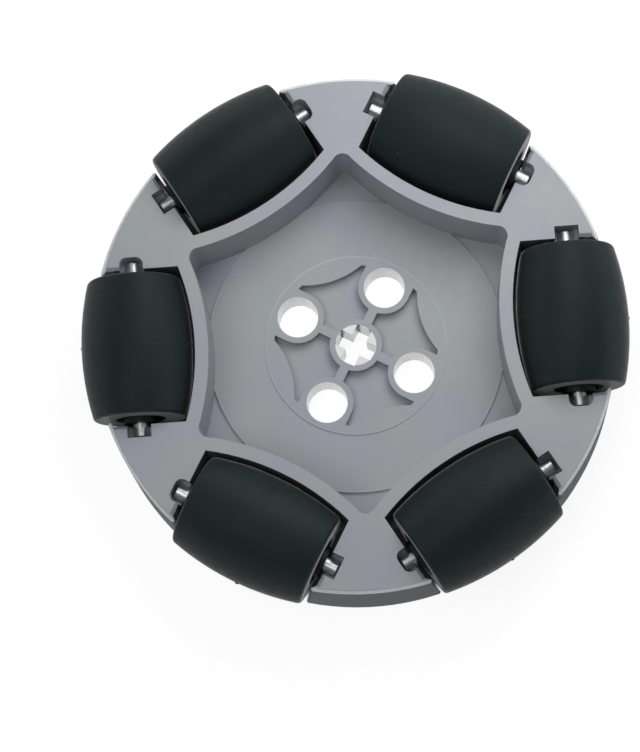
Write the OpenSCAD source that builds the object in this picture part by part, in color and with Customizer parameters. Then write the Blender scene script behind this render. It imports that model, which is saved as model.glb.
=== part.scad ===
// Single-row omni wheel: a moulded hub with six windows, and in each window a
// rubber roller that spins on a steel axle pin. The wheel lies on its back
// face, its axle along +Z, with the middle of the back face at the origin.
// All sizes are in millimetres.

/* [Wheel body] */
// Rolling diameter, across the rollers
wheel_d = 66; // [65:0.5:70]
// Thickness of the moulded body, back face to front face
body_t = 14; // [13.5:0.5:16]
// How far the front edge of the rim stands inside the rolling circle
rim_inset = 1.6; // [1.3:0.1:2.4]
// Draft of the rim, over the whole thickness
rim_draft = 0.6; // [0:0.1:0.8]
// Draft of the windows' walls, over the whole thickness
draft = 0.9; // [0:0.1:0.9]
// Chamfer on the front and back edges of the rim
rim_chamfer = 0.4; // [0.1:0.1:0.6]

/* [Rollers] */
// Greatest diameter of a roller
roller_d = 13.4; // [12.6:0.2:13.8]
// Length of a roller's rubber
roller_len = 17; // [15:0.2:17]
// Rounding of a roller's end edges
roller_edge_r = 0.5; // [0.2:0.1:1]
// Depth of the roller's axis below the front face
axis_drop = 2.3; // [1.8:0.1:3.2]
// Outside diameter of the roller's bush
bush_d = 6; // [5:0.5:7]
// Diameter of the bush's collars, which space the roller in its window
collar_d = 4; // [3:0.2:4.4]
// Space between a roller's rubber and the end walls of its window
roller_gap = 1; // [0.9:0.05:1.4]
// Free play between a bush's collar and the end wall of its window
collar_gap = 0.3; // [0.15:0.05:0.5]
// Diameter of the axle pin
pin_d = 1.8; // [1.6:0.1:2]
// Radial running clearance of the bush on its pin
pin_run = 0.05; // [0.02:0.01:0.1]
// Chamfer on a pin's ends
pin_chamfer = 0.15; // [0.05:0.05:0.3]
// Free space between a pin's end and the end of its slot
pin_end_gap = 0.25; // [0.1:0.05:0.4]

/* [Windows and slots] */
// Space between a roller and the window's inner wall
window_gap = 0.5; // [0.4:0.1:1]
// Radius of the window's curved inner wall, at the front face
window_arc_r = 30; // [29:0.5:32]
// Width of a pin slot at the front face
slot_w = 2.9; // [2.6:0.1:3.2]
// Reach of a pin slot beyond the window's end wall
slot_reach = 1.5; // [1.2:0.1:1.8]
// Corner rounding at the rounded end of a pin slot
slot_corner_r = 0.9; // [0.4:0.1:1.2]
// Width of the sloped relief on the lips outboard of the slots
lip_chamfer = 0.4; // [0.2:0.1:0.8]
// How far the rim's noses stand in front of a window's end walls
nose_step = 0.45; // [0.2:0.05:0.45]
// Width of a nose, in from the front edge of the rim
nose_w = 0.8; // [0.7:0.1:2]
// Chamfer on the upright corners between the windows and the rim
corner_chamfer = 0.25; // [0.1:0.05:0.5]

/* [Front recess] */
// Wall left between the recess and a window, at the front face
recess_wall = 1.6; // [1.2:0.1:2]
// Corner rounding of the recess
recess_corner_r = 1.2; // [0.8:0.1:2]
// Diameter of the raised hub pad
pad_d = 22.4; // [21.5:0.1:24]
// Height of the hub pad above the back face, the length of the pin holes
pad_top = 5; // [4.4:0.1:6]
// Step from the hub pad down to the round floor
floor_step = 0.2; // [0.1:0.1:0.4]
// Diameter of the round floor
floor_d = 36.6; // [35.2:0.2:37]
// Step from the round floor down into the six corner pockets
pocket_step = 0.4; // [0.2:0.1:0.8]

/* [Hub pattern] */
// Circle through the four pin holes
hole_circle_d = 16; // [15.6:0.1:16.4]
// Diameter of a pin hole
hole_d = 5; // [4.8:0.1:5.2]
// Wall around a pin hole and radius added around the cross hole's boss
boss_wall = 0.75; // [0.6:0.05:0.9]
// Diameter of the centre boss
centre_boss_d = 6.5; // [6:0.1:7]
// Tip to tip size of the cross hole
cross_len = 4.9; // [4.7:0.1:5.1]
// Width of the cross hole's arms
cross_w = 1.95; // [1.8:0.05:2.1]
// Width of the ribs between the bosses
rib_w = 1.15; // [0.8:0.05:1.5]
// Depth of the four star pockets below the hub pad
star_depth = 1.4; // [0.6:0.2:2.4]
// Outer reach of a star pocket from the wheel's axis
star_reach = 10.1; // [9.6:0.1:10.4]
// Radius of the bulging outer wall of a star pocket
star_arc_r = 10.8; // [9:0.2:13]
// Distance of that wall's nearest point from the wheel's axis
star_mid = 8.6; // [8.2:0.1:9]

/* [Back] */
// Depth of the ring cored out of the back
core_depth = 2.2; // [1:0.1:2.2]
// Diameter left solid around the hub pattern at the back
core_in_d = 24.8; // [24:0.2:26]
// Wall between the ring at the back and the windows
core_wall = 2.8; // [2.4:0.1:3.4]

/* [Hidden] */
$fn = 96;
rollers = 6;
step = 360 / rollers;
eps = 0.01;
lap = 0.03;
over = 1;

wheel_r = wheel_d / 2;
roller_r = roller_d / 2;
axis_r = wheel_r - roller_r;
axis_z = body_t - axis_drop;
rim_front_r = wheel_r - rim_inset;
rim_back_r = rim_front_r + rim_draft;
rim_slope = rim_draft / body_t;
slope = draft / body_t;
window_len = roller_len + 2 * roller_gap;
bush_len = window_len - 2 * (slope * axis_drop + collar_gap);

pin_r = pin_d / 2;
bush_r = bush_d / 2;
bore_r = pin_r + pin_run;
slot_end = window_len / 2 + slot_reach;
slot_r = slot_w / 2;
pin_half = slot_end - pin_end_gap;
// The slot's sides close in from a shoulder above the pin's axis to the seat
// below it, each at a share of the pin's radius.
shoulder_up = 0.3 * pin_r;
seat_drop = 0.4 * pin_r;
seat_half = sqrt(pin_r * pin_r - seat_drop * seat_drop);

window_in = axis_r - roller_r - window_gap;
arc_c = window_in + window_arc_r;
front_arc_r = window_arc_r + recess_wall;
back_arc_r = window_arc_r + core_wall - draft;
nose_half = window_len / 2 - nose_step;
nose_top = sqrt(rim_front_r * rim_front_r - nose_half * nose_half);
nose_x = nose_top - nose_w;

floor_top = pad_top - floor_step;
pocket_top = floor_top - pocket_step;
hole_r = hole_d / 2;
boss_r = hole_r + boss_wall;

// ---- the moulded hub ----

// Puts a roller's own frame, its axis along Y through the origin, in its window.
module at_roller(k) {
  rotate([0, 0, step * (k - 1)]) translate([axis_r, 0, axis_z]) children();
}

// The plain body: a disc with a drafted rim and two chamfered edges.
module body_blank() {
  rotate_extrude()
    polygon([
      [0, 0],
      [rim_back_r - rim_chamfer, 0],
      [rim_back_r - rim_slope * rim_chamfer, rim_chamfer],
      [rim_front_r + rim_slope * rim_chamfer, body_t - rim_chamfer],
      [rim_front_r - rim_chamfer, body_t],
      [0, body_t]
    ]);
}

// A bar along the window, with draft on its two ends, half as long as given
// at the front face.
module drafted_bar(half) {
  lo = half - slope * (body_t + over);
  hi = half + slope * over;
  translate([window_in - over, 0, 0])
    rotate([90, 0, 90])
      linear_extrude(height = wheel_r - window_in + 2 * over)
        polygon([[-lo, -over], [lo, -over], [hi, body_t + over], [-hi, body_t + over]]);
}

// One window: flat end walls and a curved inner wall, all with draft. At the
// rim a nose on each end wall stands closer to the roller.
module window_cut() {
  half = window_len / 2;
  intersection() {
    translate([arc_c, 0, -over])
      cylinder(
        h = body_t + 2 * over,
        r1 = window_arc_r - slope * (body_t + over),
        r2 = window_arc_r + slope * over
      );
    union() {
      drafted_bar(nose_half);
      intersection() {
        drafted_bar(half);
        translate([0, 0, -2 * over])
          linear_extrude(height = body_t + 4 * over)
            polygon([
              [0, -half - over],
              [nose_x - over, -half - over],
              [nose_x + nose_step, -nose_half],
              [nose_x + half, 0],
              [nose_x + nose_step, nose_half],
              [nose_x - over, half + over],
              [0, half + over]
            ]);
      }
    }
  }
}

// Section of a pin slot: an open mouth that narrows to a round seat.
module slot_section() {
  polygon([
    [-slot_r, axis_drop + over],
    [-slot_r, shoulder_up],
    [-seat_half, -seat_drop],
    [seat_half, -seat_drop],
    [slot_r, shoulder_up],
    [slot_r, axis_drop + over]
  ]);
  circle(r = pin_r);
}

// Both slots of one window: square at one end, with rounded corners at the
// other.
module slot_cut() {
  depth = axis_drop + pin_r + 3 * over;
  corner_x = slot_r - slot_corner_r;
  intersection() {
    translate([0, slot_end, 0])
      rotate([90, 0, 0])
        linear_extrude(height = 2 * slot_end)
          slot_section();
    translate([0, 0, -pin_r - over])
      linear_extrude(height = depth)
        union() {
          translate([-slot_w, -slot_end + slot_corner_r])
            square([2 * slot_w, 2 * slot_end - slot_corner_r]);
          translate([-corner_x, -slot_end])
            square([2 * corner_x, slot_w]);
          for (side = [-1, 1])
            translate([side * corner_x, -slot_end + slot_corner_r])
              circle(r = slot_corner_r);
        }
  }
}

// The sloped relief on the two lips between the slots and the noses.
module lip_cut() {
  half = window_len / 2;
  for (side = [-1, 1])
    translate([slot_r - eps, 0, axis_drop])
      rotate([90, 0, 90])
        linear_extrude(height = nose_x - axis_r - slot_r)
          polygon([
            [side * (half - over), over],
            [side * (half + lip_chamfer + over), over],
            [side * (half + lip_chamfer), 0],
            [side * (half - slope * lip_chamfer), -lip_chamfer],
            [side * (half - over), -lip_chamfer - over]
          ]);
}

// Chamfers on the upright corners where the noses meet the rim. Both walls
// have draft, so each cut follows the leaning corner between them.
module corner_cut() {
  y_top = nose_half;
  y_low = y_top - draft;
  x_top = nose_top;
  x_low = sqrt(rim_back_r * rim_back_r - y_low * y_low);
  lean_x = x_top - x_low;
  lean = atan2(sqrt(lean_x * lean_x + draft * draft), body_t);
  turn = atan2(draft, lean_x);
  rim_turn = atan2(y_top, x_top);
  face_turn = (rim_turn - 90) / 2;
  depth = corner_chamfer * cos(45 + rim_turn / 2 - rim_turn);
  for (side = [0, 1])
    mirror([0, side, 0])
      translate([x_top, y_top, body_t])
        rotate([0, lean, turn])
          rotate([0, 0, face_turn - turn])
            translate([-depth, -roller_r, -2 * body_t])
              cube([roller_r, 2 * roller_r, 3 * body_t]);
}

// Outline of the recess: six curved sides and rounded tips. The sides are
// arcs about the windows' own centres. The tips cross the sides by a hair,
// because curves that only touch leave a solid hard to close.
module recess_outline(side_r, tip_r) {
  c = arc_c;
  h = c * cos(step / 2);
  reach = side_r + tip_r;
  tip_c = h - sqrt(h * h - c * c + reach * reach);
  share = (side_r - lap) / reach;
  tx = c + (tip_c * cos(step / 2) - c) * share;
  ty = tip_c * sin(step / 2) * share;
  difference() {
    polygon([
      for (k = [0 : rollers - 1]) for (s = [-1, 1])
        [tx * cos(k * step) - s * ty * sin(k * step), tx * sin(k * step) + s * ty * cos(k * step)]
    ]);
    for (k = [0 : rollers - 1])
      rotate(k * step) translate([c, 0]) circle(r = side_r, $fn = 180);
  }
  for (k = [0 : rollers - 1])
    rotate((k + 0.5) * step) translate([tip_c, 0]) circle(r = tip_r + lap);
}

// The stepped front recess: hub pad, round floor and six deeper corners.
module recess_cut() {
  translate([0, 0, pad_top])
    linear_extrude(height = body_t - pad_top + over)
      recess_outline(front_arc_r, recess_corner_r);
  translate([0, 0, floor_top])
    linear_extrude(height = pad_top - floor_top + eps)
      difference() {
        recess_outline(front_arc_r, recess_corner_r);
        circle(d = pad_d);
      }
  translate([0, 0, pocket_top])
    linear_extrude(height = floor_top - pocket_top + eps)
      difference() {
        recess_outline(front_arc_r, recess_corner_r);
        circle(d = floor_d);
      }
}

// The four pin holes and the cross hole, right through.
module hub_holes() {
  translate([0, 0, -over])
    linear_extrude(height = pad_top + 2 * over) {
      for (k = [0 : 3])
        rotate(90 * k) translate([hole_circle_d / 2, 0]) circle(r = hole_r);
      square([cross_len, cross_w], center = true);
      square([cross_w, cross_len], center = true);
    }
}

// The four blind pockets between the bosses and the ribs.
module star_cut() {
  translate([0, 0, pad_top - star_depth])
    linear_extrude(height = star_depth + over)
      difference() {
        circle(r = star_reach);
        circle(d = centre_boss_d);
        square([2 * star_reach + over, rib_w], center = true);
        square([rib_w, 2 * star_reach + over], center = true);
        for (k = [0 : 3]) {
          rotate(90 * k) translate([hole_circle_d / 2, 0]) circle(r = boss_r);
          rotate(90 * k) translate([hole_circle_d / 2, -boss_r])
            square([star_reach, 2 * boss_r]);
          rotate(90 * k + 45) translate([star_mid + star_arc_r, 0]) circle(r = star_arc_r);
        }
      }
}

// The shallow ring cored out of the back.
module back_cut() {
  translate([0, 0, -over])
    linear_extrude(height = core_depth + over)
      difference() {
        recess_outline(back_arc_r, recess_corner_r);
        circle(d = core_in_d);
      }
}

module wheel_hub() {
  color([0.69, 0.70, 0.72])
    difference() {
      body_blank();
      for (k = [1 : rollers]) rotate([0, 0, step * (k - 1)]) window_cut();
      for (k = [1 : rollers]) at_roller(k) slot_cut();
      for (k = [1 : rollers]) at_roller(k) lip_cut();
      for (k = [1 : rollers]) rotate([0, 0, step * (k - 1)]) corner_cut();
      recess_cut();
      hub_holes();
      star_cut();
      back_cut();
    }
}

// ---- the rollers ----

// Half section of the barrel, its axis along Y. The arc is the wheel's own
// rolling circle, so the rollers together make a round wheel.
module tyre_section() {
  half = roller_len / 2;
  ec = half - roller_edge_r;
  in_r = wheel_r - roller_edge_r;
  xc = sqrt(in_r * in_r - ec * ec) - axis_r;
  ty = ec * wheel_r / in_r;
  intersection() {
    translate([-axis_r, 0]) circle(r = wheel_r, $fn = 360);
    translate([bush_r, -ty]) square([roller_r, 2 * ty]);
  }
  translate([bush_r, -half]) square([xc - bush_r, roller_len]);
  for (s = [-1, 1]) translate([xc, s * ec]) circle(r = roller_edge_r);
}

module roller_tyre() {
  color([0.09, 0.10, 0.10])
    rotate([-90, 0, 0]) rotate_extrude() tyre_section();
}

module roller_bush() {
  color([0.13, 0.13, 0.14])
    rotate([-90, 0, 0])
      difference() {
        union() {
          translate([0, 0, -roller_len / 2]) cylinder(h = roller_len, r = bush_r);
          translate([0, 0, -bush_len / 2]) cylinder(h = bush_len, d = collar_d);
        }
        translate([0, 0, -bush_len / 2 - over])
          cylinder(h = bush_len + 2 * over, r = bore_r);
      }
}

module axle_pin() {
  len = 2 * pin_half;
  color([0.80, 0.81, 0.83])
    translate([0, -pin_half, 0])
      rotate([-90, 0, 0]) {
        cylinder(h = pin_chamfer, r1 = pin_r - pin_chamfer, r2 = pin_r);
        translate([0, 0, pin_chamfer])
          cylinder(h = len - 2 * pin_chamfer, r = pin_r);
        translate([0, 0, len - pin_chamfer])
          cylinder(h = pin_chamfer, r1 = pin_r, r2 = pin_r - pin_chamfer);
      }
}

module axle_pin_1() { at_roller(1) axle_pin(); }
module axle_pin_2() { at_roller(2) axle_pin(); }
module axle_pin_3() { at_roller(3) axle_pin(); }
module axle_pin_4() { at_roller(4) axle_pin(); }
module axle_pin_5() { at_roller(5) axle_pin(); }
module axle_pin_6() { at_roller(6) axle_pin(); }
module roller_tyre_1() { at_roller(1) roller_tyre(); }
module roller_tyre_2() { at_roller(2) roller_tyre(); }
module roller_tyre_3() { at_roller(3) roller_tyre(); }
module roller_tyre_4() { at_roller(4) roller_tyre(); }
module roller_tyre_5() { at_roller(5) roller_tyre(); }
module roller_tyre_6() { at_roller(6) roller_tyre(); }
module roller_bush_1() { at_roller(1) roller_bush(); }
module roller_bush_2() { at_roller(2) roller_bush(); }
module roller_bush_3() { at_roller(3) roller_bush(); }
module roller_bush_4() { at_roller(4) roller_bush(); }
module roller_bush_5() { at_roller(5) roller_bush(); }
module roller_bush_6() { at_roller(6) roller_bush(); }

wheel_hub();
axle_pin_1();
axle_pin_2();
axle_pin_3();
axle_pin_4();
axle_pin_5();
axle_pin_6();
roller_tyre_1();
roller_tyre_2();
roller_tyre_3();
roller_tyre_4();
roller_tyre_5();
roller_tyre_6();
roller_bush_1();
roller_bush_2();
roller_bush_3();
roller_bush_4();
roller_bush_5();
roller_bush_6();
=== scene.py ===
"""The looks of a single-row omni wheel: a moulded grey hub with six black rubber rollers on steel
pins. It lies on a pale studio floor, and the camera looks down on its front face.
Lengths are in metres unless a name says otherwise.
"""

import math
import random

import bpy
from mathutils import Matrix, Vector


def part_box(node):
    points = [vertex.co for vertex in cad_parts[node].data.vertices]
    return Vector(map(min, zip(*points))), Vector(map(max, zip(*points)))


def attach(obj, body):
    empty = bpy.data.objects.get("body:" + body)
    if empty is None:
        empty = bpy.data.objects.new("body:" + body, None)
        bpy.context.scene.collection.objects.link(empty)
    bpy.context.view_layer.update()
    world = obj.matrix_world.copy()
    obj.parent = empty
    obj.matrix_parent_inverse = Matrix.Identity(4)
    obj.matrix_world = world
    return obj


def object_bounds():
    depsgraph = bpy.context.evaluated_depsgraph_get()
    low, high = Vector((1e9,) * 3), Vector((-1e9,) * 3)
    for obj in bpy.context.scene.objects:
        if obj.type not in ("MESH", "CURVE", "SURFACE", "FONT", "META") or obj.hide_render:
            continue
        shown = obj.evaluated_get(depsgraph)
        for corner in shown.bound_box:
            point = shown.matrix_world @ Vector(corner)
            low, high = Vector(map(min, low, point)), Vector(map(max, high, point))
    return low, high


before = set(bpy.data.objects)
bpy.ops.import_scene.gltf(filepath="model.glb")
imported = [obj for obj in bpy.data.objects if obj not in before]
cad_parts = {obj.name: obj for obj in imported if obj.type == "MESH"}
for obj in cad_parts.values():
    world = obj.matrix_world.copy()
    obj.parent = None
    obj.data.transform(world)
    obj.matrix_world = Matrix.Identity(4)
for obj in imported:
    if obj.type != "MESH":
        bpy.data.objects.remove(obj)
cad_low, cad_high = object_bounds()

MM = 0.001

# ---- sizes read from the frame ----

ROLLERS = 6
STEP = math.tau / ROLLERS
hub_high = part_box("wheel_hub")[1]
tyre_low, tyre_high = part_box("roller_tyre_1")
FACE_Z = hub_high.z
AXIS_Z = (tyre_low.z + tyre_high.z) / 2
ROLLER_R = (tyre_high.z - tyre_low.z) / 2
WHEEL_R = tyre_high.x
AXIS_R = WHEEL_R - ROLLER_R
RIM_R = hub_high.y
RIM_DRAFT = 0.6 * MM
RIM_FRONT_R = RIM_R - RIM_DRAFT
RIM_CHAMFER = 0.4 * MM
CHAMFER_Z = FACE_Z - RIM_CHAMFER  # where the rim's chamfer meets its outer wall
WINDOW_HALF = 9.5 * MM  # half the length of a window at the front face
WINDOW_ARC_R = 30 * MM  # its curved inner wall, about a point further out on the window's middle
WINDOW_GAP = 0.5 * MM  # between that wall and a roller
WINDOW_ARC_X = AXIS_R - ROLLER_R - WINDOW_GAP + WINDOW_ARC_R
HOLE_R = 2.5 * MM
HOLE_CIRCLE_R = 8 * MM  # four pin holes stand on this circle, a quarter turn apart
HOLES = [(HOLE_CIRCLE_R, 0.0), (0.0, HOLE_CIRCLE_R), (-HOLE_CIRCLE_R, 0.0), (0.0, -HOLE_CIRCLE_R)]
PAD_R = 11.2 * MM  # the raised disc round the axle
FLOOR_R = 18.3 * MM  # the flat floor about that disc
STEPS_Z = 5.2 * MM  # the recess's floor and its steps lie below this height
STEP_HIGHLIGHT_HALF = 0.08 * MM  # half the width of the painted highlight line along a step of the recess
GLOW_R = 12.5 * MM  # the studio floor is white within this radius, below the hub's holes
UP = Vector((0, 0, 1))


def around(angle, radius=1.0, height=0.0):
    """The point at that angle about the wheel's axle."""
    return Vector((radius * math.cos(angle), radius * math.sin(angle), height))


# ---- camera: above the face, a little below and right of straight on ----

ROLL = math.radians(63.7)  # roller 1 stands this far anticlockwise from the picture's right
TILT = math.radians(11.2)
SIDE = math.radians(1.6)
DISTANCE = 270 * MM
LENS_MM = 108.1
SENSOR_MM = 36
AIM_RIGHT = -4.04 * MM  # from the wheel's axle to the middle of the picture
AIM_UP = -5.45 * MM

picture_right = around(-ROLL)
picture_up = around(math.pi / 2 - ROLL)


def make_camera():
    axle = UP * FACE_Z
    aim = axle + picture_right * AIM_RIGHT + picture_up * AIM_UP
    toward = UP - picture_up * math.tan(TILT) + picture_right * math.tan(SIDE)
    place = axle + toward.normalized() * DISTANCE
    back = (place - aim).normalized()
    right = picture_up.cross(back).normalized()
    camera = bpy.data.objects.new("camera", bpy.data.cameras.new("camera"))
    camera.matrix_world = Matrix((right, back.cross(right), back)).transposed().to_4x4()
    camera.location = place
    camera.data.lens = LENS_MM
    camera.data.sensor_width = SENSOR_MM
    camera.data.clip_start = 0.01
    camera.data.clip_end = 20
    bpy.context.scene.collection.objects.link(camera)
    bpy.context.scene.camera = camera


make_camera()


# ---- node helpers ----


def linear(red, green, blue):
    """A screen colour, each part 0 to 255, as the shader's linear colour."""
    parts = [c / 255 for c in (red, green, blue)]
    return [c / 12.92 if c <= 0.04045 else ((c + 0.055) / 1.055) ** 2.4 for c in parts] + [1.0]


class Shader:
    """A material's node tree, with short calls for the nodes used here."""

    def __init__(self, name):
        self.material = bpy.data.materials.new(name)
        self.material.use_nodes = True
        self.tree = self.material.node_tree
        self.bsdf = self.tree.nodes["Principled BSDF"]
        self.output = self.tree.nodes["Material Output"]
        self.place = self.add("ShaderNodeTexCoord").outputs["Object"]

    def add(self, kind, **settings):
        node = self.tree.nodes.new(kind)
        for key, value in settings.items():
            setattr(node, key, value)
        return node

    def link(self, source, target):
        self.tree.links.new(source, target)

    def put(self, value, socket):
        """Sets a socket to a plain value, or links it to another node's output."""
        if isinstance(value, bpy.types.NodeSocket):
            self.link(value, socket)
        else:
            socket.default_value = value

    def math(self, operation, first, second=0.0):
        node = self.add("ShaderNodeMath", operation=operation)
        self.put(first, node.inputs[0])
        self.put(second, node.inputs[1])
        return node.outputs[0]

    def times(self, first, second):
        return self.math("MULTIPLY", first, second)

    def span(self, value, low, high, to_low=0.0, to_high=1.0):
        """Maps low..high to to_low..to_high, clamped and smooth."""
        node = self.add("ShaderNodeMapRange", interpolation_type="SMOOTHSTEP")
        self.put(value, node.inputs["Value"])
        limits = {"From Min": low, "From Max": high, "To Min": to_low, "To Max": to_high}
        for key, number in limits.items():
            node.inputs[key].default_value = number
        return node.outputs["Result"]

    def noise(self, grain, detail=2.0):
        """Noise whose blobs are about grain metres across."""
        mapping = self.add("ShaderNodeMapping")
        mapping.inputs["Scale"].default_value = [1 / grain] * 3
        self.link(self.place, mapping.inputs["Vector"])
        node = self.add("ShaderNodeTexNoise")
        node.inputs["Scale"].default_value = 1.0
        node.inputs["Detail"].default_value = detail
        self.link(mapping.outputs["Vector"], node.inputs["Vector"])
        return node.outputs["Fac"]

    def mix(self, factor, first, second):
        node = self.add("ShaderNodeMix", data_type="RGBA")
        self.put(factor, node.inputs["Factor"])
        self.put(first, node.inputs[6])
        self.put(second, node.inputs[7])
        return node.outputs[2]

    def parts(self):
        """The three coordinates of the point that is shaded, in metres."""
        node = self.add("ShaderNodeSeparateXYZ")
        self.link(self.place, node.inputs[0])
        return node.outputs

    def reach(self, across, along):
        """The distance of a point from the origin, from its two coordinates."""
        squares = [self.times(part, part) for part in (across, along)]
        return self.math("SQRT", self.math("ADD", *squares))

    def window_shade_mask(self, x, y):
        """1 on the walls of the six windows, where shade is painted into the colour because little
        light falls there.
        """
        turn = self.math("ARCTAN2", y, x)
        fold = self.math("WRAP", turn, STEP / 2)
        fold.node.inputs[2].default_value = -STEP / 2
        radius = self.reach(x, y)
        outward = self.times(radius, self.math("COSINE", fold))
        sideways = self.math("ABSOLUTE", self.times(radius, self.math("SINE", fold)))
        from_arc = self.reach(self.math("SUBTRACT", WINDOW_ARC_X, outward), sideways)
        ends = self.span(sideways, WINDOW_HALF + 0.08 * MM, WINDOW_HALF + 0.02 * MM)
        inner = self.span(from_arc, WINDOW_ARC_R + 0.08 * MM, WINDOW_ARC_R + 0.02 * MM)
        within = self.span(radius, RIM_FRONT_R - 1.2 * MM, RIM_FRONT_R - 1.6 * MM)
        return self.times(self.times(ends, inner), within)

    def bump(self, height, depth):
        """Relief of that depth in metres for a height that runs from 0 to 1."""
        node = self.add("ShaderNodeBump")
        node.inputs["Strength"].default_value = 1.0
        node.inputs["Distance"].default_value = depth
        self.link(height, node.inputs["Height"])
        self.link(node.outputs["Normal"], self.bsdf.inputs["Normal"])

    def set(self, **values):
        """Sets sockets of the Principled shader; an underscore stands for a space."""
        for key, value in values.items():
            self.put(value, self.bsdf.inputs[key.replace("_", " ")])


# ---- materials ----


def hub_plastic():
    """Grey moulded plastic, slightly bluer in places. Light is painted into its colour: a painted
    highlight along the rim's front edge, faint painted highlight lines on the recess's steps,
    painted shade on the rim's outer wall and in the windows, and painted light inside the pin holes
    and the cross hole, which are also smooth."""
    s = Shader("hub_plastic")
    x, y, z = s.parts()
    radius = s.reach(x, y)
    cool, warm = linear(163, 166, 176), linear(165, 170, 170)
    grey = s.mix(s.span(s.noise(9 * MM, detail=1.5), 0.35, 0.65), cool, warm)

    # Painted shade: the rim's outer wall is darkened because it faces away from the light. It is
    # also made rougher.
    on_wall = s.span(radius, RIM_FRONT_R - 0.06 * MM, RIM_FRONT_R - 0.02 * MM)
    side = s.times(on_wall, s.span(z, CHAMFER_Z - 0.1 * MM, CHAMFER_Z - 0.3 * MM))
    grey = s.mix(s.times(side, 0.3), grey, linear(104, 107, 112))

    # Painted highlight: a pale line along the rim's chamfered front edge, uneven along its length.
    on_rim = s.span(radius, RIM_FRONT_R - 0.36 * MM, RIM_FRONT_R - 0.26 * MM)
    edge = s.times(on_rim, s.span(z, CHAMFER_Z - 0.2 * MM, CHAMFER_Z))
    edge = s.times(edge, s.span(s.noise(2 * MM), 0.2, 0.6, 0.8, 1.0))
    grey = s.mix(edge, grey, linear(244, 245, 247))

    # Painted highlight: faint pale lines along the steps of the recess, which lift the shade on
    # their edges.
    for step_r in (PAD_R, FLOOR_R):
        off = s.math("ABSOLUTE", s.math("SUBTRACT", radius, step_r))
        low = s.span(z, STEPS_Z + 0.2 * MM, STEPS_Z)
        painted_step_highlight = s.times(s.span(off, 2 * STEP_HIGHLIGHT_HALF, STEP_HIGHLIGHT_HALF), low)
        grey = s.mix(s.times(painted_step_highlight, 0.2), grey, linear(226, 228, 230))

    # Painted shade: the windows' walls below the face are darkened, as little light reaches them
    # beside the black rollers.
    below_face = s.span(z, FACE_Z - 0.1 * MM, FACE_Z - 0.4 * MM)
    inside = s.times(s.window_shade_mask(x, y), below_face)
    grey = s.mix(s.times(inside, 0.8), grey, linear(56, 60, 62))

    # Painted light: the walls of the pin holes and the cross hole are near white, as if lit through
    # the holes. They are also smoother.
    nearest = radius
    for hole_x, hole_y in HOLES:
        from_hole = s.reach(s.math("SUBTRACT", x, hole_x), s.math("SUBTRACT", y, hole_y))
        nearest = s.math("MINIMUM", nearest, from_hole)
    bore = s.span(nearest, HOLE_R + 0.06 * MM, HOLE_R + 0.01 * MM)

    rough = s.span(s.noise(1.1 * MM), 0.3, 0.7, 0.42, 0.5)
    rough = s.math("SUBTRACT", rough, s.times(bore, 0.25))
    rough = s.math("ADD", rough, s.times(side, 0.4))
    s.set(Base_Color=s.mix(bore, grey, linear(246, 246, 247)), Roughness=rough, IOR=1.5)
    s.bump(s.noise(0.22 * MM, detail=3), 0.006 * MM)
    return s.material


def roller_rubber():
    """Matte black rubber with a faint green cast, a soft sheen and a few pale specks of dust."""
    s = Shader("roller_rubber")
    black = s.mix(s.span(s.noise(5 * MM), 0.3, 0.7), linear(21, 28, 28), linear(24, 31, 29))
    specks = s.span(s.noise(0.35 * MM, detail=0), 0.81, 0.86)
    patches = s.span(s.noise(6 * MM, detail=1), 0.62, 0.68)
    dust = s.times(specks, patches)
    s.set(
        Base_Color=s.mix(s.times(dust, 0.5), black, linear(150, 152, 150)),
        Roughness=s.span(s.noise(0.8 * MM), 0.3, 0.7, 0.5, 0.58),
        IOR=1.28,
        Specular_Tint=(0.8, 1.0, 0.99, 1.0),
        Sheen_Weight=1.0,
        Sheen_Roughness=0.2,
    )
    s.bump(s.noise(0.16 * MM, detail=3), 0.005 * MM)
    return s.material


def bush_nylon():
    """Black satin nylon of the bushes inside the rollers."""
    s = Shader("bush_nylon")
    s.set(
        Base_Color=linear(8, 9, 10),
        Roughness=s.span(s.noise(0.6 * MM), 0.3, 0.7, 0.5, 0.58),
        IOR=1.4,
    )
    s.bump(s.noise(0.12 * MM), 0.003 * MM)
    return s.material


def pin_steel():
    """Bright ground steel, a little uneven."""
    s = Shader("pin_steel")
    s.set(
        Base_Color=linear(206, 208, 210),
        Metallic=1.0,
        Roughness=s.span(s.noise(0.3 * MM), 0.3, 0.7, 0.34, 0.44),
    )
    s.bump(s.noise(0.08 * MM, detail=1), 0.001 * MM)
    return s.material


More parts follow.
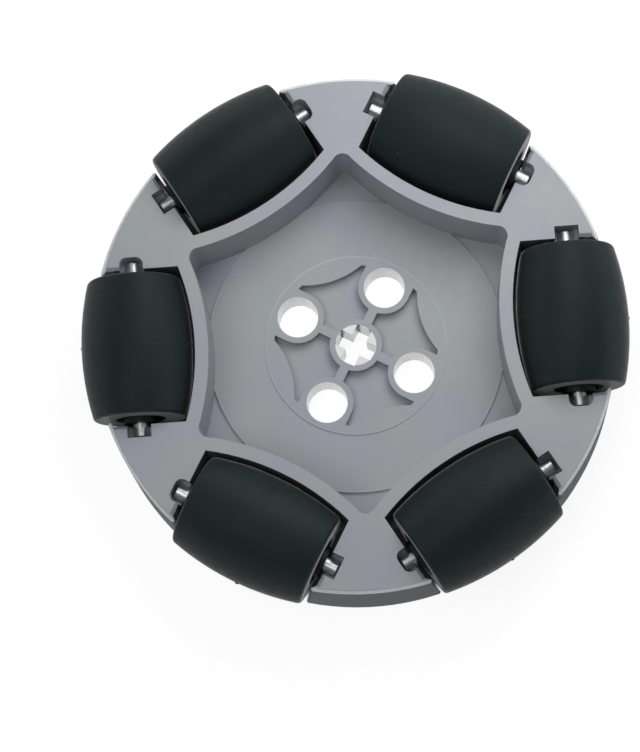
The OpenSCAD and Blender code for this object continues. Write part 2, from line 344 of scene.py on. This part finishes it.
def floor_white():
    """Pale floor. The camera and reflections see it white, below the hub's holes too, apart from a
    painted
    shadow: a ring under the rollers, darkened beyond the wheel's own shadow."""
    s = Shader("floor_white")
    x, y, _ = s.parts()
    radius = s.reach(x, y)
    below = s.span(radius, GLOW_R + 1.5 * MM, GLOW_R)
    # Painted shadow: lit is 0 in a ring under the rollers and windows. There the floor is darkened
    # beyond the wheel's own shadow, for the camera and for bounced light.
    lit = s.math("MAXIMUM", below, s.span(radius, RIM_R - 2 * MM, RIM_R))
    colour = s.mix(lit, linear(10, 11, 12), linear(80, 80, 80))
    s.set(Base_Color=s.mix(below, colour, linear(240, 240, 240)), Roughness=0.8)
    rays = s.add("ShaderNodeLightPath").outputs
    seen = s.math("MAXIMUM", rays["Is Camera Ray"], rays["Is Glossy Ray"])
    seen = s.math("MAXIMUM", seen, rays["Is Transmission Ray"])
    white = s.add("ShaderNodeEmission")
    s.link(s.span(lit, 0, 1, 0.008, 0.88), white.inputs["Strength"])
    dim = s.add("ShaderNodeBsdfDiffuse")
    s.link(s.mix(lit, (0.01, 0.01, 0.01, 1), (0.25, 0.25, 0.25, 1)), dim.inputs["Color"])
    bright = s.add("ShaderNodeAddShader")
    s.link(white.outputs[0], bright.inputs[0])
    s.link(dim.outputs[0], bright.inputs[1])
    choose = s.add("ShaderNodeMixShader")
    s.link(seen, choose.inputs[0])
    s.link(s.bsdf.outputs[0], choose.inputs[1])
    s.link(bright.outputs[0], choose.inputs[2])
    s.link(choose.outputs[0], s.output.inputs["Surface"])
    return s.material


# ---- the CAD nodes get their materials ----

FINISH = {
    "wheel_hub": hub_plastic(),
    "axle_pin": pin_steel(),
    "roller_tyre": roller_rubber(),
    "roller_bush": bush_nylon(),
}


def dress(node):
    kind = next(k for k in FINISH if node.name.startswith(k))
    node.data.materials.clear()
    node.data.materials.append(FINISH[kind])


def soften_edges(node, width):
    """Rounds a moulded part's sharp edges, as modifiers on the CAD node."""
    weld = node.modifiers.new("weld", "WELD")
    weld.merge_threshold = 0.001 * MM
    planar = node.modifiers.new("planar", "DECIMATE")
    planar.decimate_type = "DISSOLVE"
    planar.angle_limit = math.radians(1)
    bevel = node.modifiers.new("bevel", "BEVEL")
    bevel.width = width
    bevel.segments = 2
    bevel.limit_method = "ANGLE"
    bevel.angle_limit = math.radians(30)
    node.modifiers.new("shading", "WEIGHTED_NORMAL").keep_sharp = True


for cad_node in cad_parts.values():
    dress(cad_node)
soften_edges(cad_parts["wheel_hub"], 0.12 * MM)


# ---- moulding marks on the rubber ----


def make_piece(name, points, faces, material, body):
    """A smooth piece made of these points and faces, which rides on a body."""
    mesh = bpy.data.meshes.new(name)
    mesh.from_pydata([tuple(p) for p in points], [], faces)
    mesh.materials.append(material)
    for face in mesh.polygons:
        face.use_smooth = True
    piece = bpy.data.objects.new(name, mesh)
    bpy.context.scene.collection.objects.link(piece)
    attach(piece, body)


def barrel_r(along):
    """The roller's radius at that distance from its mid-length."""
    return math.sqrt(WHEEL_R**2 - along**2) - AXIS_R


def roller_flash(k, chance):
    """The hairline of flash round a roller's mid-length, and the nub that the gate left near it
    on the outermost line, a little to one side."""
    angle = (k - 1) * STEP
    centre = around(angle, AXIS_R, AXIS_Z)
    outward, along = around(angle), around(angle + math.pi / 2)

    def at(turn, radius, shift):
        spoke = outward * math.cos(turn) + UP * math.sin(turn)
        return centre + spoke * radius + along * shift

    points, faces = [], []
    turns = 120
    foot, sunk = 0.1 * MM, -0.02 * MM  # half the hairline's width, and where its feet lie
    for i in range(turns):
        turn = math.tau * i / turns
        proud = chance.uniform(0.008, 0.022) * MM
        for shift, lift in ((-foot, sunk), (0, proud), (foot, sunk)):
            points.append(at(turn, barrel_r(shift) + lift, shift))
        a, b = 3 * i, 3 * ((i + 1) % turns)
        faces += [(a, a + 1, b + 1, b), (a + 1, a + 2, b + 2, b + 1), (a + 2, a, b, b + 2)]

    middle = chance.choice((-1, 1)) * chance.uniform(0.3, 0.85) * MM
    nub_r, nub_height = 0.28 * MM, chance.uniform(0.12, 0.2) * MM
    nub_foot = 0.03 * MM  # how far the nub starts below the rubber's surface
    sides, rows = 14, 5
    first = len(points)
    for row in range(rows):
        rise = math.pi / 2 * row / rows
        for i in range(sides):
            turn = math.tau * i / sides
            shift = middle + nub_r * math.cos(rise) * math.cos(turn)
            swing = nub_r * math.cos(rise) * math.sin(turn) / ROLLER_R
            radius = barrel_r(shift) - nub_foot + nub_height * math.sin(rise)
            points.append(at(swing, radius, shift))
    points.append(at(0, barrel_r(middle) - nub_foot + nub_height, middle))
    for row in range(rows - 1):
        for i in range(sides):
            a, b = first + row * sides + i, first + row * sides + (i + 1) % sides
            faces.append((a, b, b + sides, a + sides))
    top = first + (rows - 1) * sides
    faces += [(top + i, top + (i + 1) % sides, first + rows * sides) for i in range(sides)]
    faces.append(tuple(first + i for i in reversed(range(sides))))
    rubber = FINISH["roller_tyre"]
    make_piece(f"roller_flash_{k}", points, faces, rubber, f"roller_{k}")


marks = random.Random(4)
for number in range(1, ROLLERS + 1):
    roller_flash(number, marks)


# ---- floor and light ----


def make_floor():
    half = 1.5  # metres, far past the picture's edges
    corners = [(-half, -half, 0), (half, -half, 0), (half, half, 0), (-half, half, 0)]
    mesh = bpy.data.meshes.new("floor")
    mesh.from_pydata(corners, [], [(0, 1, 2, 3)])
    mesh.materials.append(floor_white())
    floor = bpy.data.objects.new("floor", mesh)
    floor.location.z = cad_low.z
    bpy.context.scene.collection.objects.link(floor)


def soft_light(name, place, size, watts):
    """A square softbox at place that faces the wheel's axle at the floor."""
    light = bpy.data.lights.new(name, "AREA")
    light.size = size
    light.energy = watts
    lamp = bpy.data.objects.new(name, light)
    lamp.location = place
    lamp.rotation_mode = "QUATERNION"
    lamp.rotation_quaternion = (-place).to_track_quat("-Z", "Y")
    bpy.context.scene.collection.objects.link(lamp)


def picture_side(degrees):
    """The direction that many degrees anticlockwise from the picture's right."""
    return around(math.radians(degrees) - ROLL)


def make_world(light, walls, ceiling):
    """An even grey room, lit at one level. Only reflections show its white walls, its darker ceiling
    and its side that is brighter than the one across from it."""
    world = bpy.data.worlds.new("studio")
    world.use_nodes = True
    add, link = world.node_tree.nodes.new, world.node_tree.links.new

    direction = add("ShaderNodeTexCoord").outputs["Generated"]
    parts = add("ShaderNodeSeparateXYZ")
    link(direction, parts.inputs[0])
    shown = add("ShaderNodeMapRange")
    shown.interpolation_type = "SMOOTHSTEP"
    shown.inputs["From Min"].default_value = 0.1
    shown.inputs["From Max"].default_value = 0.7
    shown.inputs["To Min"].default_value = walls
    shown.inputs["To Max"].default_value = ceiling
    link(parts.outputs["Z"], shown.inputs["Value"])

    facing = add("ShaderNodeVectorMath")
    facing.operation = "DOT_PRODUCT"
    facing.inputs[1].default_value = picture_side(60) * 0.35
    link(direction, facing.inputs[0])
    uneven = add("ShaderNodeMath")
    uneven.operation = "MULTIPLY_ADD"
    link(facing.outputs["Value"], uneven.inputs[0])
    link(shown.outputs["Result"], uneven.inputs[1])
    link(shown.outputs["Result"], uneven.inputs[2])

    level = add("ShaderNodeMapRange")
    level.inputs["To Min"].default_value = light
    link(uneven.outputs[0], level.inputs["To Max"])
    link(add("ShaderNodeLightPath").outputs["Is Glossy Ray"], level.inputs["Value"])
    background = world.node_tree.nodes["Background"]
    background.inputs["Color"].default_value = (0.95, 0.97, 1.0, 1)
    link(level.outputs["Result"], background.inputs["Strength"])
    bpy.context.scene.world = world


make_floor()
soft_light("key", picture_side(65) * 0.06 + UP * 0.1, size=0.08, watts=0.066)
soft_light("fill", picture_side(215) * 0.085 + UP * 0.24, size=0.12, watts=0.125)
make_world(light=0.22, walls=2.2, ceiling=0.17)

bpy.context.scene.view_settings.view_transform = "Standard"
